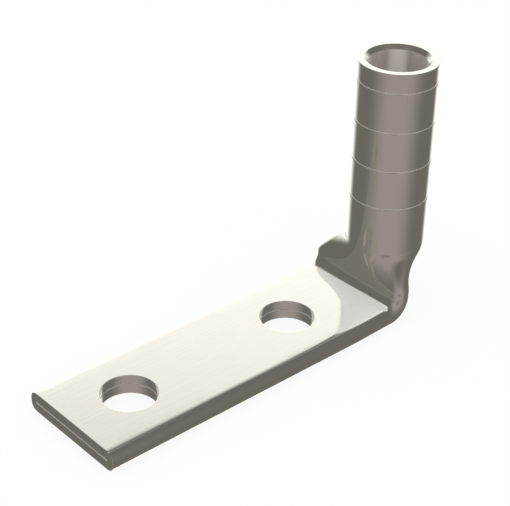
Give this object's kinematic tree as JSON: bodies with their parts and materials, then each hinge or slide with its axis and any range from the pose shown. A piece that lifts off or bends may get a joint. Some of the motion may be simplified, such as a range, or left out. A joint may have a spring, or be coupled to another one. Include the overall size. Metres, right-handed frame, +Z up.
{
  "type": "cable lug",
  "caption": "Tin-plated copper cable lug bent square: a chamfered round barrel for the cable stands on a flat tongue with stud holes in line.",
  "frame": {"origin": "midway between the two stud holes, on the contact face under the tongue", "axes": "+X along the tongue from its tip to the barrel, +Z up the barrel's axis towards its mouth"},
  "size_m": [0.0567, 0.0161, 0.0338],
  "materials": {
    "tinned_copper": "satin tin plating"
  },
  "bodies": {
    "root": {"cable_lug": "tinned_copper"}
  },
  "joints": []
}
